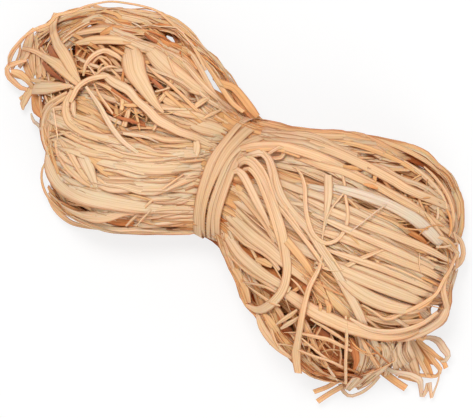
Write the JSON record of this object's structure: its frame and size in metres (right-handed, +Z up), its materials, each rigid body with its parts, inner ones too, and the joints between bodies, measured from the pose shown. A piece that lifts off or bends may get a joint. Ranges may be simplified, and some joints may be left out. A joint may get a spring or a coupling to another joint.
{
  "type": "raffia bundle",
  "caption": "Small hank of natural raffia fibre folded into a bow and tied round the waist with raffia strands, with a knot and loose tails.",
  "frame": {"origin": "middle of the base of the whole bundle's bounding box, on the surface it lies on", "axes": "+X along the bundle from the small bow end to the large bow end, +Z up from the table, +Y towards the back edge, on the side of the knot"},
  "size_m": [0.2964, 0.1494, 0.0707],
  "materials": {
    "raffia_hank": "dry split palm fibre, half matt, warm straw with orange-brown depths",
    "raffia_tie": "dry split palm fibre, smooth and a little paler, half matt",
    "raffia_loose": "dry split palm fibre, thin single strands, half matt"
  },
  "bodies": {
    "root": {"inner_loop_back": "raffia_hank", "inner_loop_back_mid": "raffia_hank", "inner_loop_front": "raffia_hank", "inner_loop_front_mid": "raffia_hank", "inner_loop_middle": "raffia_hank", "outer_loop_back": "raffia_hank", "outer_loop_back_mid": "raffia_hank", "outer_loop_front": "raffia_hank", "outer_loop_front_mid": "raffia_hank", "outer_loop_middle": "raffia_hank", "strand_cut_corner": "raffia_loose", "strand_cut_front": "raffia_loose", "strand_dangling": "raffia_loose", "strand_end_loops": "raffia_loose", "strand_outer_arc": "raffia_loose", "strand_pale_loop": "raffia_loose", "strand_small_edge": "raffia_loose", "strand_tip_curl": "raffia_loose", "tail_back": "raffia_loose", "tail_cross": "raffia_loose", "tail_curved": "raffia_loose", "tail_long": "raffia_loose", "tail_loop": "raffia_loose", "tail_short": "raffia_loose", "tie_knot": "raffia_tie", "tie_wrap_1": "raffia_tie", "tie_wrap_2": "raffia_tie", "tie_wrap_3": "raffia_tie", "tie_wrap_4": "raffia_tie"}
  },
  "joints": []
}
